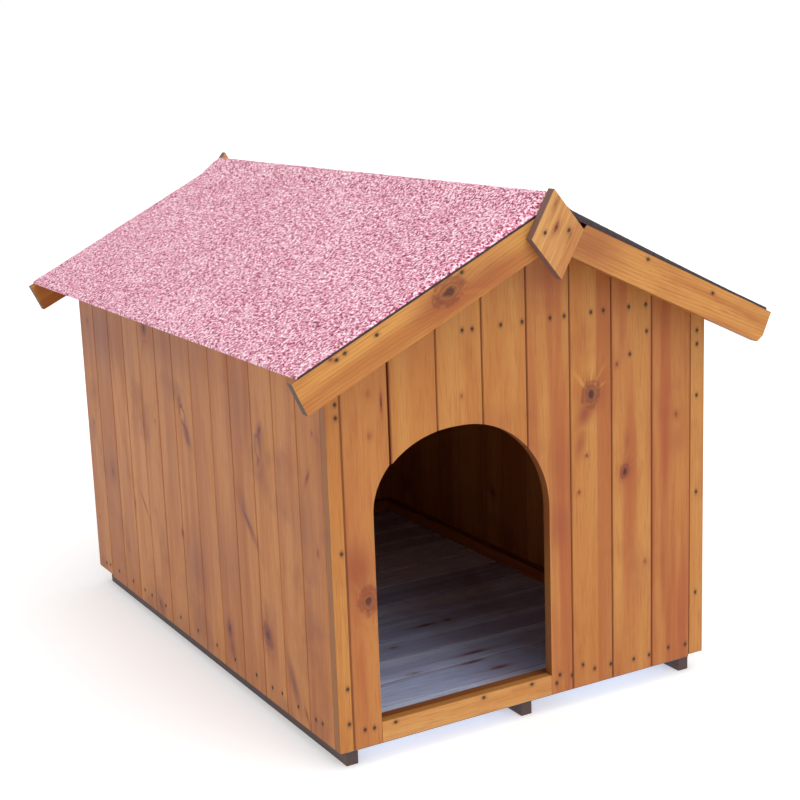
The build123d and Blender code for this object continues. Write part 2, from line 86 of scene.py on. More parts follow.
# %% [markdown]
# ## Wires that read like sums
# A node tree is a sum written with boxes. `Wire` wraps an output socket so that `a * 0.5 + b`
# adds the Math nodes for it. That keeps the finishes below short enough to read.


# %% A socket that can be added and multiplied
def feed(tree, value, socket):
    """Fills an input socket with a link or with a plain value."""
    if isinstance(value, Wire):
        tree.links.new(value.socket, socket)
    else:
        socket.default_value = value


def maths(tree, operation, *values):
    """One Math node."""
    made = tree.nodes.new("ShaderNodeMath")
    made.operation = operation
    for value, socket in zip(values, made.inputs):
        feed(tree, value, socket)
    return Wire(tree, made.outputs[0])


class Wire:
    """An output socket, with the usual signs for arithmetic."""

    def __init__(self, tree, socket):
        self.tree, self.socket = tree, socket

    def __add__(self, other):
        return maths(self.tree, "ADD", self, other)

    def __sub__(self, other):
        return maths(self.tree, "SUBTRACT", self, other)

    def __rsub__(self, other):
        return maths(self.tree, "SUBTRACT", other, self)

    def __mul__(self, other):
        return maths(self.tree, "MULTIPLY", self, other)

    def __truediv__(self, other):
        return maths(self.tree, "DIVIDE", self, other)

    __radd__ = __add__
    __rmul__ = __mul__


# %% Nodes that the finishes use most
def place_node(tree, kind, inputs=(), **settings):
    """Adds a node, sets its properties and fills its inputs by name or number."""
    made = tree.nodes.new(kind)
    for name, value in settings.items():
        setattr(made, name, value)
    for key, value in dict(inputs).items():
        feed(tree, value, made.inputs[key])
    return made


def between(wire, low, high):
    """0 below low, 1 above high, and a smooth step from one to the other."""
    made = place_node(wire.tree, "ShaderNodeMapRange", {0: wire, 1: low, 2: high})
    made.interpolation_type = "SMOOTHSTEP"
    return Wire(wire.tree, made.outputs[0])


def vector(tree, x, y, z):
    """Three values as one vector."""
    made = place_node(tree, "ShaderNodeCombineXYZ", {0: x, 1: y, 2: z})
    return Wire(tree, made.outputs[0])


def split(wire):
    """The three values of a vector."""
    made = place_node(wire.tree, "ShaderNodeSeparateXYZ", {0: wire})
    return [Wire(wire.tree, out) for out in made.outputs]


def cloud(tree, place, scale, detail=2.0, roughness=0.5):
    """Noise between 0 and 1 around 0.5; scale is lumps to the metre."""
    inputs = {"Vector": place, "Scale": scale, "Detail": detail, "Roughness": roughness}
    return Wire(tree, place_node(tree, "ShaderNodeTexNoise", inputs).outputs["Fac"])


def blend(tree, share, under, over):
    """Mixes two colours; share is how much of the second one shows."""
    made = tree.nodes.new("ShaderNodeMix")
    made.data_type = "RGBA"
    for value, key in ((share, 0), (under, 6), (over, 7)):
        feed(tree, value, made.inputs[key])
    return Wire(tree, made.outputs[2])


def shade(red, green, blue):
    """A colour as a paint chart gives it, from 0 to 255, made linear for the shader."""
    def linear(v):
        v /= 255
        return v / 12.92 if v <= 0.04045 else ((v + 0.055) / 1.055) ** 2.4
    return (linear(red), linear(green), linear(blue), 1.0)


# %% Groups with named sockets
FLOAT, VECTOR = "NodeSocketFloat", "NodeSocketVector"


def start_group(name, takes):
    """A new node group. takes is [(socket, kind, value)]; gives the tree and its input wires."""
    tree = bpy.data.node_groups.new(name, "ShaderNodeTree")
    for label, kind, value in takes:
        socket = tree.interface.new_socket(label, in_out="INPUT", socket_type=kind)
        socket.default_value = value
    entry = tree.nodes.new("NodeGroupInput")
    return tree, {s.name: Wire(tree, s) for s in entry.outputs if s.name}


def end_group(tree, gives):
    """Adds the outputs. gives is {socket: (kind, wire)}."""
    for label, (kind, _) in gives.items():
        tree.interface.new_socket(label, in_out="OUTPUT", socket_type=kind)
    leave = tree.nodes.new("NodeGroupOutput")
    for label, (_, wire) in gives.items():
        feed(tree, wire, leave.inputs[label])
    print("group:", tree.name, "with", len(tree.nodes), "nodes")
    return tree


def use_group(tree, group, **values):
    """Places a group in a tree; socket names with spaces are given with underscores."""
    made = tree.nodes.new("ShaderNodeGroup")
    made.node_tree = group
    for label, value in values.items():
        feed(tree, value, made.inputs[label.replace("_", " ")])
    return {s.name: Wire(tree, s) for s in made.outputs}


# %% [markdown]
# ## Which board is this?
# The walls are tongue and groove boards, and each board came from another log. A finish that
# knows the number of the board and the place on it can start a new figure at every seam. The
# place is a vector: across the board from its middle, into the wood, and along the grain.


# %% Group: place on the board
def board_place_group():
    """From a place on the wall to the place on one board, and which board it is."""
    tree, get = start_group(
        "Place on the board",
        [("Place", VECTOR, (0, 0, 0)), ("First edge", FLOAT, 0.0), ("Cover", FLOAT, COVER)],
    )
    across, depth, along = split(get["Place"])
    steps = (across - get["First edge"]) / get["Cover"]
    number = maths(tree, "FLOOR", steps)
    share = steps - number
    from_middle = (share - 0.5) * get["Cover"]
    return end_group(tree, {
        "Place": (VECTOR, vector(tree, from_middle, depth, along)),
        "Number": (FLOAT, number),
        "Left edge": (FLOAT, share * get["Cover"]),
    })


BOARD_PLACE = board_place_group()

# %% [markdown]
# ## The figure of pine
# A log is a pile of cones, one for each year. A saw cuts them into lines, and into long arches
# where the cut runs past the heart. So the rings are the distance from a heart line that wanders
# along the board, and a knot pushes them aside (`Bulge`). Fine fibres and soft streaks, drawn
# out along the grain, lie over them.


# %% Group: pine figure
def pine_figure_group():
    """Rings, fibres, grain, streaks and clouds, another set of them for every seed."""
    tree, get = start_group(
        "Pine figure",
        [("Place", VECTOR, (0, 0, 0)), ("Seed", FLOAT, 0.0),
         ("Ring", FLOAT, 6 * MM), ("Bulge", FLOAT, 0.0)],
    )
    across, depth, along = split(get["Place"])
    seed = get["Seed"]
    dice = place_node(tree, "ShaderNodeTexWhiteNoise", {"W": seed}, noise_dimensions="1D")
    chance_a, chance_b, chance_c = split(Wire(tree, dice.outputs["Color"]))
    shift = seed * 3.7
    wander = cloud(tree, vector(tree, along * 1.6, shift, 0.0), 1.0, 1.0) - 0.5
    sink = cloud(tree, vector(tree, along * 1.1, shift, 9.0), 1.0, 1.0) - 0.5
    warp = cloud(tree, vector(tree, across * 30, depth * 30 + shift, along * 4), 1.0, 1.0) - 0.5
    heart = (chance_a - 0.5) * 0.12 + wander * 0.06
    buried = chance_b * 0.05 + 0.012 + sink * 0.04
    side = across - heart
    under = depth + buried
    radius = maths(tree, "SQRT", side * side + under * under) + warp * 0.008 + get["Bulge"]
    years = radius / get["Ring"]
    year = maths(tree, "FLOOR", years)
    part = years - year
    luck = place_node(tree, "ShaderNodeTexWhiteNoise", {"W": year + seed}, noise_dimensions="1D")
    late = between(part, 0.25, 0.85) * (1.0 - between(part, 0.88, 1.0))
    rings = late * (Wire(tree, luck.outputs["Value"]) * 0.6 + 0.4)
    fibre_at = vector(tree, across * 900, depth * 900 + shift, along * 22)
    grain_at = vector(tree, across * 330, depth * 330 + shift, along * 16)
    streak_at = vector(tree, across * 120, depth * 120 + shift, along * 4.0)
    cloud_at = vector(tree, across * 26, depth * 26 + shift, along * 1.7)
    return end_group(tree, {
        "Rings": (FLOAT, rings),
        "Fibre": (FLOAT, cloud(tree, fibre_at, 1.0, 2.0, 0.6)),
        "Grain": (FLOAT, cloud(tree, grain_at, 1.0, 2.0, 0.6)),
        "Streak": (FLOAT, cloud(tree, streak_at, 1.0, 2.0, 0.55)),
        "Cloud": (FLOAT, between(cloud(tree, cloud_at, 1.0, 2.0) + (chance_c - 0.5) * 0.3, 0.3, 0.7)),
    })


PINE_FIGURE = pine_figure_group()

# %% [markdown]
# ## Knots
# A knot is the foot of a branch: a dark core, fine rings round it, and rays and smoky resin in
# the wood about it. The rings of the board swerve past. One group makes them all: place, radius,
# how far it is drawn out along the grain and how it leans. With a tiny radius it is a pin knot.


# %% Group: knot
SPOT_INPUTS = [("Place", VECTOR, (0, 0, 0)), ("Centre", VECTOR, (0, 0, 0)),
               ("Radius", FLOAT, 4 * MM), ("Stretch", FLOAT, 1.6), ("Lean", FLOAT, 0.0)]


def from_centre(get):
    """Sideways and upward distance from a spot, counted in its radius."""
    across, _, along = split(get["Place"])
    centre_across, _, centre_along = split(get["Centre"])
    rise = along - centre_along
    side = (across - centre_across - rise * get["Lean"]) / get["Radius"]
    return side, rise / (get["Radius"] * get["Stretch"])


def knot_group():
    """The core, rim, halo and rays of a knot, and how far it pushes the rings aside."""
    tree, get = start_group("Knot", SPOT_INPUTS)
    side, up = from_centre(get)
    rough = cloud(tree, get["Place"], 110.0, 2.0) - 0.5
    away = maths(tree, "SQRT", side * side + up * up)
    uneven = away + rough * 0.8
    fall = maths(tree, "EXPONENT", away * away * -0.14)
    ripples = maths(tree, "SINE", uneven * 6.5) * 0.5 + 0.5
    angle = maths(tree, "ARCTAN2", up, side)
    spokes = between(cloud(tree, vector(tree, angle * 3.5, away * 0.12, 0.0), 1.0, 1.0), 0.5, 0.62)
    above = between(up, -0.4, 1.2)
    reach = between(away, 1.2, 2.4) * above * maths(tree, "EXPONENT", away * away * -0.06)
    smoke = cloud(tree, get["Place"], 45.0, 2.0)
    return end_group(tree, {
        "Core": (FLOAT, 1.0 - between(uneven, 0.35, 1.1)),
        "Rim": (FLOAT, ripples * (1.0 - between(uneven, 1.2, 2.2))),
        "Halo": (FLOAT, fall * (smoke * 0.8 + 0.6)),
        "Rays": (FLOAT, spokes * reach),
        "Bulge": (FLOAT, maths(tree, "EXPONENT", away * away * -0.09) * get["Radius"]),
    })


KNOT = knot_group()

# %% [markdown]
# ## Stains and rings
# Two more masks use the same measure. A stain is a soft spot without an edge, for rust, for
# smoky wood and for painted shade. An open ring is the dark line that is left where a branch was
# cut near its bark, and big knots have one round them too. Its middle stays plain wood.


# %% Group: stain
def stain_group():
    """A soft spot, drawn out along the grain: rust round a nail, smoke in the wood, and painted
    shade.
    """
    tree, get = start_group("Stain", SPOT_INPUTS)
    side, up = from_centre(get)
    away = side * side + up * up
    return end_group(tree, {"Mask": (FLOAT, maths(tree, "EXPONENT", away * -1.0))})


STAIN = stain_group()


# %% Group: open ring
def open_ring_group():
    """A dark ring, uneven and broken here and there."""
    tree, get = start_group("Open ring", SPOT_INPUTS)
    side, up = from_centre(get)
    rough = cloud(tree, get["Place"], 60.0, 2.0) - 0.5
    away = maths(tree, "SQRT", side * side + up * up) + rough * 0.8
    line = 1.0 - between(maths(tree, "ABSOLUTE", away - 1.0), 0.08, 0.32)
    whole = between(cloud(tree, get["Place"], 90.0, 1.0), 0.3, 0.5)
    return end_group(tree, {"Mask": (FLOAT, line * whole)})


OPEN_RING = open_ring_group()

# %% [markdown]
# ## The pine finish
# One function mixes the wood for every timber. Each call gives the direction of the grain, the
# colours, how strong the rings are, and the knots of that board. The wood was brushed with a
# honey brown preservative, so soft early wood is golden, and streaks with more resin are rust
# red. Sawn ends drink more of it and turn dark, which the surface normal gives away.

# %% Colours of the stained pine
STRAW = shade(189, 130, 64)
HONEY = shade(172, 100, 49)
RUST = shade(154, 74, 36)
LATE_WOOD = shade(150, 76, 34)
# These two tones colour the smoky patches in the wood, and the painted shade marks as well.
SMOKE_AND_SHADE_TONE = shade(140, 68, 40)
DUSK = shade(116, 54, 40)
SEAM_DARK = shade(96, 40, 18)
SEAM_ORANGE = shade(138, 66, 28)
KNOT_CORE = shade(66, 30, 24)
KNOT_RIM = shade(112, 52, 32)
KNOT_HALO = shade(140, 62, 36)
RESIN = shade(226, 172, 84)
END_WOOD = shade(116, 74, 50)
DARK_END = shade(54, 40, 38)
JAMB = shade(84, 46, 28)
NAIL_STAIN = shade(64, 34, 20)

# Directions across, into and along the wood: upright boards first, then lying ones.
ACROSS_X = ((1, 0, 0), (0, 1, 0), (0, 0, 1))
ACROSS_Y = ((0, 1, 0), (1, 0, 0), (0, 0, 1))
ALONG_X = ((0, 0, 1), (0, 1, 0), (1, 0, 0))
ALONG_X_FLAT = ((0, 1, 0), (0, 0, 1), (1, 0, 0))
ALONG_Y_FLAT = ((1, 0, 0), (0, 0, 1), (0, 1, 0))
ALONG_Y_UP = ((0, 0, 1), (1, 0, 0), (0, 1, 0))

# %% [markdown]
# The colour is built as a painter would build it: plain wood first, then smoke and painted
# shade, rings, fibres, knots and dirt, each layer thin enough to let the last one show. Every
# layer is a small function that takes the colour so far and gives the next one.


# %% Layers of the pine finish
def dot(tree, wire, direction):
    """How far a vector reaches in one direction."""
    made = place_node(tree, "ShaderNodeVectorMath", {0: wire, 1: direction}, operation="DOT_PRODUCT")
    return Wire(tree, made.outputs["Value"])


def placed(tree, place, group, spots):
    """Places a spot group once for each mark, and gives the outputs with the strengths."""
    for across, along, radius, stretch, lean, strength in spots:
        yield strength, use_group(tree, group, Place=place, Centre=(across, 0, along),
                                  Radius=radius, Stretch=stretch, Lean=lean)


def knot_masks(tree, place, knots):
    """All the knots of a timber in one set of masks."""
    masks = dict.fromkeys(("Core", "Rim", "Halo", "Rays", "Bulge"), 0.0)
    for strength, made in placed(tree, place, KNOT, knots):
        for part in ("Core", "Rim", "Halo", "Rays"):
            masks[part] = maths(tree, "MAXIMUM", made[part] * strength, masks[part])
        masks["Bulge"] = made["Bulge"] + masks["Bulge"]
    return masks


def banded(tree, place, colour, bands, red):
    """Redder wood between two lines along the grain."""
    fade = 4 * MM
    across, _, _ = split(place)
    for low, high, strength in bands:
        past = between(across, high - fade, high)
        band = between(across, low, low + fade) * (1.0 - past)
        colour = blend(tree, band * strength, colour, red)
    return colour


def smoked_and_shaded(tree, point, place, colour, haze, smoke, smoke_and_shade_tone):
    """Soft dark patches, some anywhere and some at certain places; some of the placed ones are
    painted shade.
    """
    patches = between(cloud(tree, point, 7.0, 3.0, 0.6), 0.5, 0.72) * haze
    for strength, made in placed(tree, place, STAIN, smoke):
        patches = maths(tree, "MAXIMUM", made["Mask"] * strength, patches)
    return blend(tree, patches, colour, smoke_and_shade_tone)


def knotted(tree, colour, knot, rays):
    """The knots, from the wide halo to the dark core."""
    colour = blend(tree, knot["Halo"] * 0.7, colour, KNOT_HALO)
    colour = blend(tree, knot["Rays"] * rays, colour, RESIN)
    colour = blend(tree, knot["Rim"] * 0.65, colour, KNOT_RIM)
    return blend(tree, knot["Core"] * 0.9, colour, KNOT_CORE)


def rusted(tree, place, colour, nails, axes):
    """A dark stain round every nail."""
    rust = 0.0
    for nail in nails:
        here = Vector(nail)
        centre = (here.dot(Vector(axes[0])), 0, here.dot(Vector(axes[2])))
        mark = use_group(tree, STAIN, Place=place, Centre=centre, Radius=3.6 * MM, Stretch=1.5)
        rust = maths(tree, "MAXIMUM", mark["Mask"], rust)
    return blend(tree, rust * 0.8, colour, NAIL_STAIN)


def seamed(tree, board, colour, cover, seams, seam):
    """Dirt and thick stain along the two edges of every board."""
    from_right = cover - board["Left edge"]
    crack = (1.0 - between(board["Left edge"], 0.3 * MM, 3.2 * MM)) * seams[0]
    crack = (1.0 - between(from_right, 0.3 * MM, 3.6 * MM)) * seams[1] + crack
    return blend(tree, crack, colour, seam)


def sawn(tree, normal, colour, axes, edge_share, edge, end):
    """The narrow faces along the grain and the sawn ends, told by the way they face."""
    narrow = 1.0 - between(maths(tree, "ABSOLUTE", dot(tree, normal, axes[1])), 0.3, 0.7)
    across_grain = between(maths(tree, "ABSOLUTE", dot(tree, normal, axes[2])), 0.6, 0.9)
    colour = blend(tree, narrow * edge_share, colour, edge)
    return blend(tree, across_grain * 0.9, colour, end)


# %% Pine material
def pine(name, axes, first=-10.0, cover=20.0, light=STRAW, body=HONEY, red=RUST, redness=0.3,
         rings=0.2, ring=6 * MM, seams=(0.6, 0.6), seed=0.0, knots=(), loops=(), smoke=(), haze=0.25,
         rays=0.12, nails=(), bands=(), seam=SEAM_DARK, smoke_and_shade_tone=SMOKE_AND_SHADE_TONE, end=END_WOOD, sides=0.5,
         painted_shade_sides=False, roughness=0.5):
    """A pine material. axes are the directions across, into and along the wood.

    first and cover say where the boards of a wall start and how wide they are. knots, loops and
    smoke are [(across, along, radius, stretch, lean, strength)] in the axes' own measure, nails
    the points where nails go in, and bands [(from, to, strength)] of redder wood. haze is how
    much of the wood has smoky patches of no certain place, rays how bright the rays over its
    knots are, seams how dark the left and right edges of a board are, and sides how brown its
    narrow faces are."""
    material = bpy.data.materials.new(name)
    material.use_nodes = True
    tree = material.node_tree
    shader = tree.nodes["Principled BSDF"]
    spot = tree.nodes.new("ShaderNodeTexCoord")
    point = Wire(tree, spot.outputs["Object"])
    normal = Wire(tree, spot.outputs["Normal"])
    place = vector(tree, *[dot(tree, point, axis) for axis in axes])
    board = use_group(tree, BOARD_PLACE, Place=place, First_edge=first, Cover=cover)
    knot = knot_masks(tree, place, knots)
    figure = use_group(tree, PINE_FIGURE, Place=board["Place"], Seed=board["Number"] + seed,
                       Ring=ring, Bulge=knot["Bulge"])

    colour = blend(tree, figure["Cloud"], light, body)
    zone = between(figure["Streak"] * 0.35 + figure["Cloud"] * 0.65, 0.4, 0.9)
    colour = blend(tree, zone * redness, colour, red)
    colour = banded(tree, place, colour, bands, red)
    # Smoky patches, and the painted shade marks that are given in the same lists.
    colour = smoked_and_shaded(tree, point, place, colour, haze, smoke, smoke_and_shade_tone)
    colour = blend(tree, figure["Rings"] * rings, colour, LATE_WOOD)
    colour = blend(tree, between(figure["Grain"], 0.5, 0.68) * 0.32, colour, red)
    colour = blend(tree, between(figure["Fibre"], 0.5, 0.72) * 0.3, colour, red)
    if knots:
        colour = knotted(tree, colour, knot, rays)
    for strength, made in placed(tree, place, OPEN_RING, loops):
        colour = blend(tree, made["Mask"] * strength, colour, KNOT_RIM)
    if nails:
        colour = rusted(tree, place, colour, nails, axes)
    if cover < 1.0:
        colour = seamed(tree, board, colour, cover, seams, seam)
    # On the finials every narrow face and end gets the end colour, as painted shade.
    if painted_shade_sides:
        colour = sawn(tree, normal, colour, axes, 0.9, end, end)
    else:
        colour = sawn(tree, normal, colour, axes, sides, JAMB, end)
    feed(tree, colour, shader.inputs["Base Color"])

    dull = figure["Rings"] * 0.08 + figure["Fibre"] * 0.14 + (roughness - 0.1)
    feed(tree, dull, shader.inputs["Roughness"])
    shader.inputs["Specular IOR Level"].default_value = 0.3
    height = figure["Fibre"] * 0.25 + figure["Rings"] * 0.35
    relief = {"Strength": 0.35, "Distance": 0.6 * MM, "Height": height}
    bump = place_node(tree, "ShaderNodeBump", relief)
    feed(tree, Wire(tree, bump.outputs["Normal"]), shader.inputs["Normal"])
    return material


def marks_near(node, axis, spots):
    """The marks of a wall that reach onto one of its boards."""
    low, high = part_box(node)
    return [m for m in spots if low[axis] - 3 * m[2] < m[0] < high[axis] + 3 * m[2]]


# %% [markdown]
# ## Where the nails are
# Iron bleeds into wet pine, so there is a dark stain round every nail. The nails are CAD nodes,
# each a group of small discs, and the middle of each disc is where a stain goes.


# %% Find the nails
WELD = 1e-6  # corners that lie closer than this are one corner


def nail_islands(node):
    """The corners of each separate nail in a CAD node."""
    mesh = bmesh.new()
    mesh.from_mesh(frame["nodes"][node].data)
    bmesh.ops.remove_doubles(mesh, verts=mesh.verts, dist=WELD)
    left = set(mesh.verts)
    found = []
    while left:
        stack = [left.pop()]
        island = []
        while stack:
            vertex = stack.pop()
            island.append(vertex.co.copy())
            for edge in vertex.link_edges:
                other = edge.other_vert(vertex)
                if other in left:
                    left.remove(other)
                    stack.append(other)
        found.append(island)
    mesh.free()
    return sorted(found, key=lambda island: tuple(round(v, 5) for v in island_middle(island)))


def island_middle(island):
    """Middle of the box round some points."""
    lows = [min(p[i] for p in island) for i in range(3)]
    highs = [max(p[i] for p in island) for i in range(3)]
    return Vector([(a + b) / 2 for a, b in zip(lows, highs)])


NAIL_NODES = ("front_wall_nails", "strip_nails", "sill_nails", "left_wall_nails",
              "right_wall_nails", "rear_wall_nails", "barge_nails", "finial_nails")
NAIL_ISLANDS = {node: nail_islands(node) for node in NAIL_NODES}


def nails_in(node, nail_node):
    """The middles of the nails of one group that lie on a timber."""
    low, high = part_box(node)
    spots = [island_middle(island) for island in NAIL_ISLANDS[nail_node]]
    slack = 2 * MM
    return [p for p in spots if all(low[i] - slack < p[i] < high[i] + slack for i in range(3))]


print("nails:", {node: len(found) for node, found in NAIL_ISLANDS.items()})

# %% [markdown]
# ## Timbers with eased edges
# CAD edges are perfectly sharp, and real sawn edges are not: a plane or just handling takes a
# millimetre off them, and that thin round catches the light. Each timber is a copy of its CAD
# mesh, welded, cleaned of the triangles that only split flat faces, and bevelled a little.


# %% Ease the edges of a timber
FLAT = radians(1)
SHARP = radians(25)


def eased(node, width, material):
    """A copy of a CAD node with rounded edges, which stands for it."""
    source = frame["nodes"][node]
    timber = bpy.data.objects.new(node + "_timber", source.data.copy())
    scene.collection.objects.link(timber)
    mesh = bmesh.new()
    mesh.from_mesh(timber.data)
    bmesh.ops.remove_doubles(mesh, verts=mesh.verts, dist=WELD)
    bmesh.ops.dissolve_limit(mesh, angle_limit=FLAT, verts=mesh.verts, edges=mesh.edges)
    sharp = [e for e in mesh.edges if e.is_manifold and e.calc_face_angle() > SHARP]
    bmesh.ops.bevel(mesh, geom=sharp, offset=width, segments=2, profile=0.6,
                    affect="EDGES", clamp_overlap=True)
    for face in mesh.faces:
        face.smooth = True
    mesh.to_mesh(timber.data)
    mesh.free()
    timber.data.materials.clear()
    timber.data.materials.append(material)
    weighted = timber.modifiers.new("flat faces stay flat", "WEIGHTED_NORMAL")
    weighted.keep_sharp = True
    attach(timber, source["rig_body"])
    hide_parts(node)
    return timber


# %% [markdown]
# ## Front wall
# Eight boards stand between two corner strips. Each has a character of its own: the third is
# golden, the sixth has the big knot with rays over it, the first and the eighth are the reddest.
# Knots and smoky spots are listed where they sit on the real boards, by X and Z, and
# each board picks the ones that reach onto it.

# %% Front boards
YELLOW_PINE = shade(182, 116, 52)
RED_PINE = shade(166, 90, 44)
front_characters = {
    1: dict(redness=0.6, seams=(0.3, 0.9), body=RED_PINE, light=shade(184, 120, 60)),
    2: dict(redness=0.12, seams=(0.5, 0.6), body=YELLOW_PINE),
    3: dict(redness=0.05, seams=(0.5, 0.7), body=YELLOW_PINE),
    4: dict(redness=0.08, seams=(0.6, 0.6), body=YELLOW_PINE),
    5: dict(redness=0.4, seams=(0.6, 0.6)),
    6: dict(redness=0.05, seams=(0.6, 0.8), body=YELLOW_PINE, rays=0.42,
            bands=[(0.140, 0.180, 0.5)]),
    7: dict(redness=0.25, seams=(0.6, 0.7)),
    8: dict(redness=0.6, seams=(0.6, 0.4), body=RED_PINE, light=shade(186, 124, 60)),
}
front_knots = [
    (-0.318, 0.284, 0.009, 1.3, 0.0, 0.9), (-0.281, 0.608, 0.0014, 8.0, 0.0, 0.9),
    (-0.304, 0.625, 0.003, 1.5, 0.0, 0.3), (-0.305, 0.557, 0.003, 1.5, 0.0, 0.3),
    (-0.131, 0.597, 0.002, 1.5, 0.0, 0.5), (0.130, 0.563, 0.0095, 1.2, 0.0, 1.0),
    (0.120, 0.456, 0.002, 1.3, 0.0, 0.9), (0.1025, 0.393, 0.002, 1.3, 0.0, 0.9),
    (0.202, 0.414, 0.0065, 1.5, 0.2, 1.0), (0.186, 0.608, 0.002, 1.5, 0.0, 0.7),
    (0.247, 0.239, 0.002, 1.5, 0.0, 0.7), (0.317, 0.500, 0.0025, 1.5, 0.0, 0.6),
]
front_loops = [(0.130, 0.563, 0.0180, 1.2, 0.0, 0.5), (-0.318, 0.284, 0.0170, 1.3, 0.0, 0.45)]
front_smoke = [
    (-0.335, 0.341, 0.028, 1.6, 0.0, 0.85), (0.116, 0.529, 0.015, 1.4, 0.3, 0.95),
    (0.106, 0.478, 0.010, 2.8, 0.2, 0.7), (0.060, 0.340, 0.022, 2.0, 0.0, 0.6),
    (0.207, 0.468, 0.008, 2.4, 0.0, 0.5), (0.320, 0.454, 0.020, 1.5, 0.0, 0.4),
    (0.034, 0.780, 0.040, 0.9, 0.0, 0.6), (0.063, 0.450, 0.026, 2.4, 0.0, 0.35),
]
for number, character in front_characters.items():
    node = f"front_board_{number}"
    finish = pine(f"pine_front_{number}", ACROSS_X, FRONT_START - COVER, COVER,
                  seed=10.0 + number, nails=nails_in(node, "front_wall_nails"),
                  knots=marks_near(node, 0, front_knots), smoke=marks_near(node, 0, front_smoke),
                  loops=marks_near(node, 0, front_loops), **character)
    eased(node, 0.5 * MM, finish)

for number, node in enumerate(("front_strip_left", "front_strip_right")):
    finish = pine("pine_" + node, ACROSS_X, body=YELLOW_PINE, redness=0.05, rings=0.12,
                  seed=3.0 + number, nails=nails_in(node, "strip_nails"))
    eased(node, 0.8 * MM, finish)
sill_finish = pine("pine_sill", ALONG_X, redness=0.05, rings=0.2, seed=5.0, sides=0.1,
                   light=shade(208, 154, 88), body=shade(192, 130, 64),
                   nails=nails_in("door_sill", "sill_nails"))
eased("door_sill", 0.8 * MM, sill_finish)

# %% [markdown]
# ## Left wall
# Thirteen boards, duller than the front and smokier. Part of that is painted shade: their tones,
# denser haze and darker smoke colour stand in for a side that faces away from the light. The
# seams between them differ: some are a dark line, others can hardly be seen. The marks are
# placed by Y and Z.

# %% Left boards
# Side-wall tones, a little duller than the front's, partly as painted shade.
SHADED_SIDE_PALE = shade(188, 122, 60)
SHADED_SIDE_BODY = shade(170, 101, 46)
SHADED_SIDE_RED = shade(150, 79, 38)
left_seams = [0.8, 0.5, 0.8, 0.8, 0.25, 0.25, 0.8, 0.8, 0.25, 0.8, 0.25, 0.25]
left_knots = [
    (-0.527, 0.564, 0.0020, 1.5, 0.0, 0.8), (-0.502, 0.485, 0.0025, 3.0, -0.6, 0.8),
    (-0.528, 0.365, 0.0020, 2.5, 0.0, 0.8), (-0.315, 0.157, 0.0090, 1.4, 0.3, 1.0),
    (-0.325, 0.528, 0.0040, 1.8, -0.4, 0.8), (-0.314, 0.471, 0.0020, 2.0, 0.0, 0.8),
    (-0.250, 0.357, 0.0030, 4.5, 0.9, 0.8), (-0.145, 0.115, 0.0060, 2.0, 0.0, 1.0),
    (0.004, 0.462, 0.0035, 2.6, 0.6, 0.8), (0.062, 0.248, 0.0025, 2.0, 0.0, 0.8),
    (0.195, 0.634, 0.0090, 1.3, 0.0, 1.0), (0.169, 0.4515, 0.0020, 1.5, 0.0, 0.6),
    (0.211, 0.059, 0.0060, 1.6, 0.4, 0.7), (0.262, 0.258, 0.0022, 5.0, 0.8, 0.8),
    (0.319, 0.245, 0.0018, 4.0, 0.0, 0.8), (0.447, 0.286, 0.0030, 2.0, 0.0, 0.7),
    (0.547, 0.379, 0.0030, 1.5, 0.0, 0.7), (0.539, 0.603, 0.0030, 1.5, 0.0, 0.6),
    (0.560, 0.157, 0.0020, 1.5, 0.0, 0.7), (-0.455, 0.060, 0.0025, 3.0, 0.5, 0.8),
]
left_loops = [
    (0.022, 0.491, 0.0110, 1.7, 0.2, 0.85), (-0.316, 0.498, 0.0100, 2.2, 0.1, 0.6),
    (0.008, 0.455, 0.0070, 2.0, 0.5, 0.6), (-0.315, 0.157, 0.0150, 1.4, 0.3, 0.5),
]
# Smoky wood, and painted shade: the wide marks at Z 0.59 and 0.62 are painted shade under the eave,
# the one at Z 0.02 is painted shade at the foot, and the one at Y -0.006, Z 0.195 is deepened with
# it.
left_smoke_and_painted_shade = [
    (0.033, 0.518, 0.013, 1.4, 0.0, 0.8), (0.004, 0.452, 0.014, 1.6, 0.5, 0.9),
    (-0.325, 0.515, 0.014, 1.8, 0.0, 0.7), (0.445, 0.293, 0.026, 1.4, 0.0, 0.6),
    (-0.262, 0.345, 0.012, 3.0, 0.9, 0.8), (-0.240, 0.375, 0.020, 1.6, 0.5, 0.5),
    (-0.006, 0.195, 0.060, 1.2, 0.0, 0.5), (-0.150, 0.250, 0.070, 1.1, 0.0, 0.3),
    (-0.154, 0.080, 0.011, 2.4, 0.2, 0.9), (-0.145, 0.115, 0.013, 1.4, 0.0, 0.8),
    (-0.315, 0.157, 0.016, 1.5, 0.0, 0.9), (-0.412, 0.100, 0.014, 3.0, 0.4, 0.9),
    (0.205, 0.050, 0.020, 1.2, 0.0, 0.7), (-0.480, 0.400, 0.040, 1.6, 0.0, 0.4),
    (0.195, 0.634, 0.017, 1.2, 0.0, 0.7), (0.552, 0.360, 0.018, 1.4, 0.0, 0.5),
    (-0.250, 0.560, 0.060, 1.2, 0.0, 0.3), (0.060, 0.020, 0.120, 0.4, 0.0, 0.4),
    (0.450, 0.590, 0.180, 0.4, 0.0, 0.6), (0.080, 0.620, 0.200, 0.3, 0.0, 0.45),
]
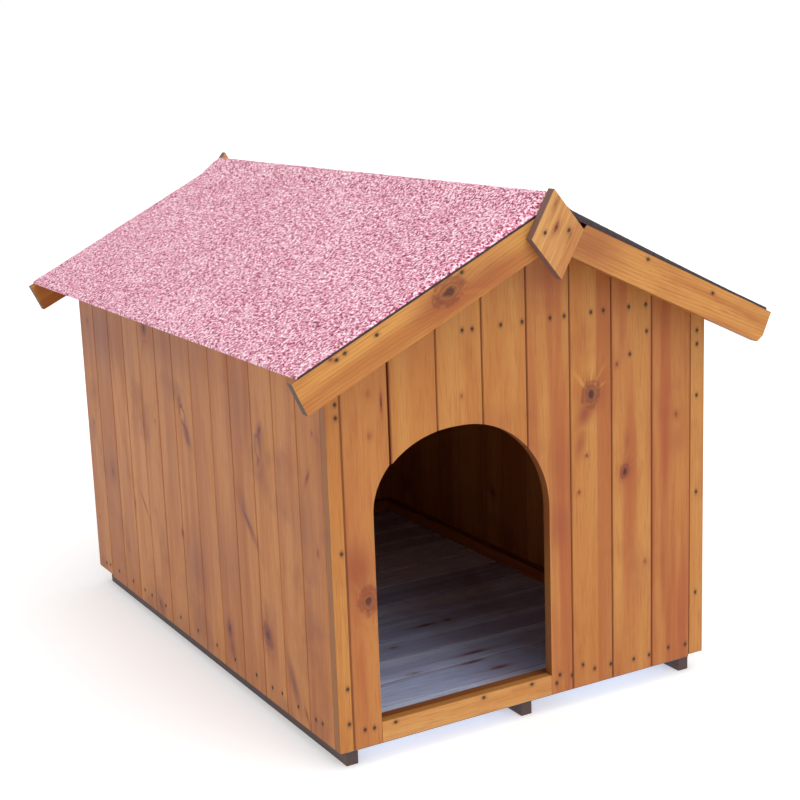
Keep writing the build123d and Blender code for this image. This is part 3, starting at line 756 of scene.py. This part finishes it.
# The denser haze and the DUSK smoke colour also darken the side walls as painted shade.
left_finish = dict(light=SHADED_SIDE_PALE, body=SHADED_SIDE_BODY, red=SHADED_SIDE_RED,
                   redness=0.15, rings=0.12, haze=0.45, smoke_and_shade_tone=DUSK, seam=SEAM_ORANGE)
for number in range(1, 14):
    node = f"left_board_{number}"
    seams = ([0.2] + left_seams)[number - 1] * 0.5, (left_seams + [0.2])[number - 1]
    finish = pine(f"pine_left_{number}", ACROSS_Y, SIDE_START, COVER, seed=30.0 + number,
                  seams=seams, nails=nails_in(node, "left_wall_nails"),
                  knots=marks_near(node, 1, left_knots), smoke=marks_near(node, 1, left_smoke_and_painted_shade),
                  loops=marks_near(node, 1, left_loops), **left_finish)
    eased(node, 0.5 * MM, finish)

print("walls: front", len(front_characters), "boards, left", number)

# %% [markdown]
# ## Right and rear walls
# Each of these walls is one piece with all its boards in it. One finish serves a whole wall,
# because it starts a new figure at every seam by itself. Their knots are made up, so that the
# walls don't look bare when the house is turned round.

# %% Right and rear walls
right_finish = pine("pine_right", ACROSS_Y, SIDE_START, COVER, seed=60.0, seams=(0.3, 0.5),
                    nails=[island_middle(i) for i in NAIL_ISLANDS["right_wall_nails"]],
                    knots=[(-0.21, 0.44, 0.006, 1.4, 0.0, 0.8), (0.10, 0.19, 0.005, 1.5, 0.2, 0.8),
                           (0.36, 0.52, 0.007, 1.3, 0.0, 0.8), (-0.46, 0.30, 0.004, 1.6, 0.0, 0.8)],
                    **left_finish)
eased("right_wall_boards", 0.5 * MM, right_finish)
rear_finish = pine("pine_rear", ACROSS_X, REAR_START, COVER, seed=80.0, seams=(0.5, 0.6),
                   nails=[island_middle(i) for i in NAIL_ISLANDS["rear_wall_nails"]],
                   knots=[(-0.19, 0.31, 0.007, 1.4, 0.0, 0.9), (0.06, 0.62, 0.006, 1.3, 0.0, 0.9),
                          (0.25, 0.22, 0.004, 1.6, 0.2, 0.8), (-0.03, 0.14, 0.004, 1.5, 0.0, 0.8)])
eased("rear_wall_boards", 0.5 * MM, rear_finish)

# %% [markdown]
# ## Barge boards and finials
# The boards along the verge are cut along their slope, so their grain leans with the roof. Near
# the finial the front ones carry painted shadow. The lozenges over the ends of the ridge are
# offcuts whose grain leans to one side, and their sawn edges are painted dull grey-brown shade.

# %% Barge boards and finials
BARGE_LEAN = radians(25.2)


def along_and_across(x, z, along, across):
    """A place on a leaning board in the measure of its grain."""
    place = Vector((x, 0, z))
    return place.dot(Vector(across)), place.dot(Vector(along))


def leaning(spots, along, across):
    """Marks given by X and Z, in the measure of a leaning board."""
    return [(*along_and_across(x, z, along, across), *shape) for x, z, *shape in spots]


barge_knots = {
    ("front", "left"): [(-0.194, 0.783, 0.010, 1.8, 0.0, 0.9), (-0.404, 0.704, 0.002, 1.5, 0.0, 0.7)],
}
barge_loops = {("front", "left"): [(-0.194, 0.783, 0.019, 1.5, 0.0, 0.55)]}
# The first mark on each front barge board, beside the finial, is painted shadow; the second on the
# left is smoky wood round its knot.
barge_smoke_and_painted_shadow = {
    ("front", "left"): [(-0.120, 0.810, 0.030, 2.0, 0.0, 0.5), (-0.230, 0.765, 0.022, 1.8, 0.0, 0.4)],
    ("front", "right"): [(0.080, 0.830, 0.045, 1.6, 0.0, 0.7)],
}
for side, name in ((-1, "left"), (1, "right")):
    along = (cos(BARGE_LEAN), 0, -side * sin(BARGE_LEAN))
    across = (side * sin(BARGE_LEAN), 0, cos(BARGE_LEAN))
    for end in ("front", "rear"):
        knots, loops, smoke = (leaning(marks.get((end, name), []), along, across)
                               for marks in (barge_knots, barge_loops, barge_smoke_and_painted_shadow))
        node = f"barge_{end}_{name}"
        finish = pine(f"pine_{node}", (across, (0, 1, 0), along), redness=0.3, rings=0.34,
                      ring=5 * MM, light=shade(206, 147, 74), body=YELLOW_PINE, end=DARK_END,
                      seed=90.0 + side + 3 * (end == "rear"), knots=knots, loops=loops,
                      smoke=smoke, nails=nails_in(node, "barge_nails"))
        eased(node, 0.9 * MM, finish)

FINIAL_LEAN = radians(28)
finial_knots = [(-0.002, 0.868, 0.0024, 2.6, 0.0, 1.0), (-0.003, 0.905, 0.003, 3.5, 0.0, 0.4),
                (0.024, 0.852, 0.0025, 4.0, 0.0, 0.35)]
for node, lean in (("finial_front", FINIAL_LEAN), ("finial_rear", -FINIAL_LEAN)):
    along = (sin(lean), 0, cos(lean))
    across = (cos(lean), 0, -sin(lean))
    knots = leaning(finial_knots, along, across)
    # The grey-brown end colour of the finials is painted shade on their sawn faces.
    finish = pine("pine_" + node, (across, (0, 1, 0), along), redness=0.1, rings=0.35,
                  ring=7 * MM, seed=97.0, knots=knots, nails=nails_in(node, "finial_nails"),
                  light=shade(206, 152, 88), haze=0.1, end=shade(112, 84, 80), painted_shade_sides=True)
    eased(node, 0.9 * MM, finish)

print("barge boards and finials dressed, barge boards leaning", round(degrees(BARGE_LEAN), 1))

# %% [markdown]
# ## Floor, runners and the timbers inside
# The floor was never stained, and bare pine turns grey. Its colour is painted pale blue as well,
# for the skylight that falls in through the doorway. The runners are dark grey-brown. The rails,
# the battens and the roof boards are the same stained pine as the walls.

# %% Floor, runners, rails and roof boards
floor_knots = [(-0.178, 0.018, 0.003, 4.5, 0.0, 1.0), (-0.178, 0.068, 0.003, 1.5, 0.0, 1.0),
               (-0.351, 0.021, 0.003, 6.0, 0.0, 0.9), (-0.389, -0.006, 0.004, 4.0, 0.0, 0.7),
               (-0.437, 0.021, 0.003, 4.0, 0.0, 0.9), (-0.245, -0.093, 0.003, 2.0, 0.0, 0.6),
               (-0.373, -0.123, 0.004, 3.0, 0.0, 0.4)]
# Pale blue floor colour: painted skylight from the doorway.
floor_finish_painted_skylight = pine("pine_floor", ALONG_X_FLAT, SIDE_START, COVER, light=shade(214, 228, 255),
                    body=shade(186, 202, 246), red=shade(130, 112, 122), seed=120.0,
                    roughness=0.45, rings=0.15, haze=0.3, knots=floor_knots)
eased("floor_boards", 0.5 * MM, floor_finish_painted_skylight)
runner_finish = pine("pine_runners", ALONG_Y_UP, light=shade(98, 82, 78), body=shade(78, 62, 60),
                     red=shade(60, 44, 40), seed=140.0, haze=0.0, end=shade(84, 66, 64))
for side in ("left", "middle", "right"):
    eased(f"runner_{side}", 0.9 * MM, runner_finish)
inner_along_x = pine("pine_rails_across", ALONG_X, seed=150.0)
inner_along_y = pine("pine_rails_long", ALONG_Y_UP, seed=160.0)
roof_finish = pine("pine_roof_boards", ALONG_Y_FLAT, 0.0, 79 * MM, seed=170.0)
for node in ("bottom_rail_front", "bottom_rail_rear", "top_rail_front", "top_rail_rear"):
    eased(node, 0.8 * MM, inner_along_x)
for node in ("bottom_rail_left", "bottom_rail_right", "top_rail_left", "top_rail_right"):
    eased(node, 0.8 * MM, inner_along_y)
for node in ("roof_batten_front_left", "roof_batten_front_right",
             "roof_batten_rear_left", "roof_batten_rear_right"):
    eased(node, 0.8 * MM, inner_along_x)
for node in ("roof_boards_left", "roof_boards_right"):
    eased(node, 0.5 * MM, roof_finish)

# %% [markdown]
# ## Mineral felt
# Roofing felt is a bitumen sheet with crushed pink stone rolled into its upper face. The CAD
# solid has its size and its fold over the ridge, but a real sheet lies in soft waves, bends in
# curves and has a gritty face. So the sheet is built again as a fine net, with waves and grains
# as real heights, and it stands for the CAD solid.

# %% Felt mesh
felt_low, felt_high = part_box("roof_felt")
SLOPE = tan(radians(26.5))
FELT_PLANE = 913.7 * MM  # where the planes of the two slopes would meet
FELT_PEAK = 922 * MM  # top of the fold over the ridge
FELT_V = 3.352 * MM  # thickness, measured straight up
FOLD_HALF = 50 * MM
FOLD_SOFT = 6 * MM
EAVE = felt_high.x
LIP_START = -631 * MM  # in front of this the sheet is rolled down onto the barge boards
LIP_ROWS = 5
BARGE_AT_EAVE = 680.53 * MM
BARGE_SLOPE = 0.47056  # rise of the barge boards, which lie flatter than the roof
LIP_THICKNESS = 3.65 * MM
BARE_LIP_X = 22 * MM  # to the right of this the lip has lost its grains


def felt_height(x, y):
    """Upper face of the felt: two slopes, a soft fold on the ridge, a lip over the front."""
    reach = abs(x)
    plane = FELT_PLANE - SLOPE * (sqrt(reach * reach + FOLD_SOFT * FOLD_SOFT))
    share = min(reach / FOLD_HALF, 1.0)
    plane += (FELT_PEAK - FELT_PLANE + SLOPE * FOLD_SOFT) * (1 - share * share) ** 1.2
    if y < LIP_START:
        barge = BARGE_AT_EAVE + BARGE_SLOPE * (EAVE - reach) + LIP_THICKNESS
        drop = (LIP_START - y) / (LIP_START - felt_low.y)
        plane += (min(barge, plane) - plane) * drop * drop
    return plane


# %% [markdown]
# The net has a point every 4 mm on its gritty side. The underside needs only its edges and a few
# lines along the fold. Strips along the cut edges join the two, so the sheet is closed.


# %% Felt net
def nearest(values, wanted):
    """Where in a list the value nearest to the wanted one is."""
    return min(range(len(values)), key=lambda i: abs(values[i] - wanted))


def felt_sheet():
    """The sheet as a closed net: gritty top, plain underside and cut edges."""
    step = 4 * MM
    columns = int(2 * EAVE / step)
    rows = int((felt_high.y - LIP_START) / step)
    xs = [-EAVE + 2 * EAVE * i / columns for i in range(columns + 1)]
    ys = [felt_low.y + (LIP_START - felt_low.y) * i / LIP_ROWS for i in range(LIP_ROWS)]
    ys += [LIP_START + (felt_high.y - LIP_START) * i / rows for i in range(rows + 1)]
    last = len(ys) - 1

    mesh = bmesh.new()
    top = []
    for y in ys:
        line = []
        for x in xs:
            wave = noise.noise(Vector((x * 9, y * 7, 2.0))) * 0.5 + 0.5
            grit = noise.noise(Vector((x * 260, y * 260, 7.0)))
            height = felt_height(x, y)
            line.append(mesh.verts.new((x, y, height + wave * 0.9 * MM + grit * 0.45 * MM)))
        top.append(line)
    for j in range(last):
        for i in range(columns):
            face = mesh.faces.new((top[j][i], top[j][i + 1], top[j + 1][i + 1], top[j + 1][i]))
            face.smooth = True
            face.material_index = int(j < LIP_ROWS and xs[i] > BARE_LIP_X)

    # The underside has few columns: the two edges, and some that follow the fold.
    folds = (-0.05, -0.04, -0.027, -0.014, 0.0, 0.014, 0.027, 0.04, 0.05)
    key_columns = sorted({0, columns} | {nearest(xs, x) for x in folds})
    lower = {}
    for i in range(columns + 1):
        for j in range(last + 1):
            on_edge = i in (0, columns) or j in (0, last)
            if on_edge or (i in key_columns and j == LIP_ROWS):
                lower[i, j] = mesh.verts.new((xs[i], ys[j], felt_height(xs[i], ys[j]) - FELT_V))
    for j in range(last):
        for i in (0, columns):
            ring = [top[j][i], top[j + 1][i], lower[i, j + 1], lower[i, j]]
            mesh.faces.new(ring if i == 0 else ring[::-1])
    for i in range(columns):
        for j in (0, last):
            ring = [top[j][i + 1], top[j][i], lower[i, j], lower[i + 1, j]]
            mesh.faces.new(ring if j == 0 else ring[::-1]).material_index = 1
    for start, stop in zip(key_columns, key_columns[1:]):
        near = [lower[i, 0] for i in range(start, stop + 1)]
        far = [lower[i, last] for i in range(start, stop + 1)]
        fold_line = [lower[start, LIP_ROWS], lower[stop, LIP_ROWS]]
        left_lip = [lower[0, j] for j in range(1, LIP_ROWS)] if start == 0 else []
        right_lip = [lower[columns, j] for j in range(1, LIP_ROWS)] if stop == columns else []
        lip = near[::-1] + left_lip + fold_line + right_lip[::-1]
        mesh.faces.new(lip).material_index = 1
        left_run = [lower[0, j] for j in range(LIP_ROWS + 1, last)] if start == 0 else []
        right_run = [lower[columns, j] for j in range(LIP_ROWS + 1, last)] if stop == columns else []
        slope = fold_line[::-1] + left_run + far + right_run[::-1]
        mesh.faces.new(slope).material_index = 1
    sheet = bpy.data.meshes.new("felt_sheet")
    mesh.normal_update()
    mesh.to_mesh(sheet)
    print("felt net:", len(mesh.verts), "points", len(mesh.faces), "faces")
    mesh.free()
    return sheet


# %% [markdown]
# The stone grains are a few millimetres across: pink, rose, almost white, and here and there a
# maroon one where the bitumen shows. Cells give every grain its own colour, and a coarser noise
# gathers light and dark ones in the clumps that show from a distance.


# %% Felt materials
def granule_material():
    """Crushed pink stone on bitumen."""
    material = bpy.data.materials.new("pink_granules")
    material.use_nodes = True
    tree = material.node_tree
    shader = tree.nodes["Principled BSDF"]
    point = Wire(tree, tree.nodes.new("ShaderNodeTexCoord").outputs["Object"])
    grain = place_node(tree, "ShaderNodeTexVoronoi", {"Vector": point, "Scale": 1 / (2.6 * MM)})
    tone = split(Wire(tree, grain.outputs["Color"]))[0]
    clump = cloud(tree, point, 1 / (4.6 * MM), 1.0)
    drift = cloud(tree, point, 9.0, 1.0)
    level = (clump - 0.5) * 2.7 + (tone - 0.5) * 0.8 + (drift - 0.5) * 0.2 + 0.56
    ramp = place_node(tree, "ShaderNodeValToRGB", {0: level})
    stops = [(0.0, shade(122, 40, 62)), (0.22, shade(188, 94, 118)), (0.48, shade(224, 142, 166)),
             (0.75, shade(242, 184, 202)), (1.0, shade(254, 236, 243))]
    while len(ramp.color_ramp.elements) < len(stops):
        ramp.color_ramp.elements.new(0.5)
    for element, (position, colour) in zip(ramp.color_ramp.elements, stops):
        element.position, element.color = position, colour
    feed(tree, Wire(tree, ramp.outputs["Color"]), shader.inputs["Base Color"])
    feed(tree, tone * 0.2 + 0.75, shader.inputs["Roughness"])
    shader.inputs["Specular IOR Level"].default_value = 0.2
    away = Wire(tree, grain.outputs["Distance"])
    height = (1.0 - away) * 0.5 + clump * 0.5
    relief = {"Strength": 0.5, "Distance": 1.0 * MM, "Height": height}
    bump = place_node(tree, "ShaderNodeBump", relief)
    feed(tree, Wire(tree, bump.outputs["Normal"]), shader.inputs["Normal"])
    return material


def bitumen_material():
    """The black side and the bare edges of the felt."""
    material = bpy.data.materials.new("bitumen_edge")
    material.use_nodes = True
    tree = material.node_tree
    shader = tree.nodes["Principled BSDF"]
    point = Wire(tree, tree.nodes.new("ShaderNodeTexCoord").outputs["Object"])
    rough = cloud(tree, point, 240.0, 3.0)
    colour = blend(tree, between(rough, 0.35, 0.75), shade(30, 16, 20), shade(70, 44, 50))
    feed(tree, colour, shader.inputs["Base Color"])
    feed(tree, rough * 0.3 + 0.4, shader.inputs["Roughness"])
    relief = {"Strength": 0.4, "Distance": 0.8 * MM, "Height": rough}
    bump = place_node(tree, "ShaderNodeBump", relief)
    feed(tree, Wire(tree, bump.outputs["Normal"]), shader.inputs["Normal"])
    return material


felt = bpy.data.objects.new("felt_sheet", felt_sheet())
scene.collection.objects.link(felt)
felt.data.materials.append(granule_material())
felt.data.materials.append(bitumen_material())
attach(felt, "roof")
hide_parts("roof_felt")

# %% [markdown]
# ## Nail heads
# The nails are round wire nails, driven until their heads sit on the wood or just in it. A
# struck head is a shallow dome with a chamfered rim and it never sits quite square, so each one
# is turned from a small profile and tipped a little. The tip comes from noise at a fixed place,
# so every run gives the same heads.

# %% Nail heads
HEAD_PROFILE = [(0.45, 0.98), (0.8, 0.86), (0.96, 0.62), (1.0, 0.3), (0.97, 0.0)]
HEAD_SIDES = 16


def steel_material():
    """Nail steel that has begun to rust."""
    material = bpy.data.materials.new("nail_steel")
    material.use_nodes = True
    tree = material.node_tree
    shader = tree.nodes["Principled BSDF"]
    point = Wire(tree, tree.nodes.new("ShaderNodeTexCoord").outputs["Object"])
    patch = cloud(tree, point, 700.0, 2.0)
    colour = blend(tree, between(patch, 0.4, 0.65), shade(56, 38, 26), shade(106, 84, 64))
    feed(tree, colour, shader.inputs["Base Color"])
    shader.inputs["Metallic"].default_value = 0.2
    shader.inputs["Specular IOR Level"].default_value = 0.2
    feed(tree, patch * 0.3 + 0.5, shader.inputs["Roughness"])
    relief = {"Strength": 0.3, "Distance": 0.2 * MM, "Height": patch}
    bump = place_node(tree, "ShaderNodeBump", relief)
    feed(tree, Wire(tree, bump.outputs["Normal"]), shader.inputs["Normal"])
    return material


NAIL_STEEL = steel_material()


def driven_nails(node):
    """Domed heads in place of the plain discs of a CAD node."""
    mesh = bmesh.new()
    inside = Vector((0, 0, 0.4))  # every nail points away from here
    for count, island in enumerate(NAIL_ISLANDS[node]):
        middle = island_middle(island)
        spans = [max(p[i] for p in island) - min(p[i] for p in island) for i in range(3)]
        axis = spans.index(min(spans))
        outward = Vector((0, 0, 0))
        outward[axis] = 1.0 if middle[axis] > inside[axis] else -1.0
        radius, height = max(spans) / 2, min(spans)
        tip = 0.10 * noise.noise(Vector((count * 3.1, 0.5, len(node))))
        turn = outward.to_track_quat("Z", "Y").to_matrix().to_4x4()
        lean = Matrix.Rotation(tip, 4, "X")
        seat = Matrix.Translation(middle - outward * height * 0.5)
        rings = []
        for share, level in HEAD_PROFILE:
            ring = []
            for k in range(HEAD_SIDES):
                angle = 2 * pi * k / HEAD_SIDES
                side = radius * share
                spot = Vector((cos(angle) * side, sin(angle) * side, level * height))
                ring.append(mesh.verts.new(seat @ turn @ lean @ spot))
            rings.append(ring)
        mesh.faces.new(rings[0])
        for upper, lower in zip(rings, rings[1:]):
            for k in range(HEAD_SIDES):
                after = (k + 1) % HEAD_SIDES
                mesh.faces.new((upper[k], lower[k], lower[after], upper[after]))
        mesh.faces.new(rings[-1][::-1])
    for face in mesh.faces:
        face.smooth = True
    heads = bpy.data.meshes.new(node + "_heads")
    mesh.to_mesh(heads)
    mesh.free()
    made = bpy.data.objects.new(node + "_heads", heads)
    scene.collection.objects.link(made)
    heads.materials.append(NAIL_STEEL)
    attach(made, frame["nodes"][node]["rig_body"])
    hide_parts(node)
    return made


for node in NAIL_NODES:
    driven_nails(node)
print("nail heads:", sum(len(found) for found in NAIL_ISLANDS.values()))

# %% [markdown]
# ## Studio floor
# The house stands on a plain pale floor. It glows a little, so that it stays nearly white where
# the lamps fall on it at a slant.

# %% Studio floor
FLOOR_RADIUS = 40
floor_mesh = bmesh.new()
bmesh.ops.create_circle(floor_mesh, cap_ends=True, segments=96, radius=FLOOR_RADIUS)
floor_data = bpy.data.meshes.new("studio_floor")
floor_mesh.to_mesh(floor_data)
floor_mesh.free()
floor = bpy.data.objects.new("studio_floor", floor_data)
scene.collection.objects.link(floor)
floor_paint = bpy.data.materials.new("pale_floor")
floor_paint.use_nodes = True
paint = floor_paint.node_tree.nodes["Principled BSDF"]
paint.inputs["Base Color"].default_value = (0.8, 0.8, 0.8, 1)
paint.inputs["Emission Color"].default_value = (1, 1, 1, 1)
paint.inputs["Emission Strength"].default_value = 0.38
paint.inputs["Roughness"].default_value = 0.9
floor_data.materials.append(floor_paint)

# %% [markdown]
# ## Soft light
# A bright overcast sky lights the wood evenly. The world is brighter to the camera than to the
# house, so that the background is white without washing the wood out. Three wide suns
# stand in for a cloud overhead and two windows, and give the shadows under the roof.

# %% Light
world = bpy.data.worlds.new("studio")
scene.world = world
world.use_nodes = True
sky = world.node_tree
background = sky.nodes["Background"]
background.inputs["Color"].default_value = (1, 1, 1, 1)
seen = place_node(sky, "ShaderNodeLightPath")
strength = Wire(sky, seen.outputs["Is Camera Ray"]) * 0.5 + 0.52
feed(sky, strength, background.inputs["Strength"])


def soft_sun(name, towards, strength, width, tint=(1, 1, 1)):
    """A far lamp as wide as a bright cloud; towards is the way to it from the house."""
    lamp = bpy.data.lights.new(name, "SUN")
    lamp.energy, lamp.angle, lamp.color = strength, radians(width), tint
    made = bpy.data.objects.new(name, lamp)
    scene.collection.objects.link(made)
    made.rotation_euler = Vector(towards).to_track_quat("Z", "Y").to_euler()
    return made


soft_sun("cloud_overhead", (0.1, -0.25, 1.0), 1.4, 60)
soft_sun("window_in_front", (0.3, -1.0, 0.6), 0.8, 50, (0.94, 0.97, 1.0))
soft_sun("window_at_left", (-1.0, -0.1, 0.5), 0.25, 50, (0.9, 0.95, 1.0))

# %% [markdown]
# ## Camera
# The camera stands to the front left and a little above the ridge. It looks down some 13 degrees
# and is held slightly askew. Its place and turn were found by fitting board joints and roof
# edges to the view. The view transform is the plain one, so colours come out as they are mixed.

# %% Camera
eye = bpy.data.cameras.new("eye")
eye.sensor_width = 36.0
eye.lens = 69.954
camera = bpy.data.objects.new("eye", eye)
scene.collection.objects.link(camera)
eye_place = Vector((-1.437255, -2.670456, 1.152589))
yaw, pitch, roll = 0.516784, 0.222575, -0.036474
forward = Vector((sin(yaw) * cos(pitch), cos(yaw) * cos(pitch), -sin(pitch)))
right = Vector((cos(yaw), -sin(yaw), 0))
up = right.cross(forward)
image_right = right * cos(roll) + up * sin(roll)
image_up = up * cos(roll) - right * sin(roll)
turn = Matrix((image_right, image_up, -forward)).transposed()
camera.matrix_world = Matrix.Translation(eye_place) @ turn.to_4x4()
scene.camera = camera
scene.view_settings.view_transform = "Standard"
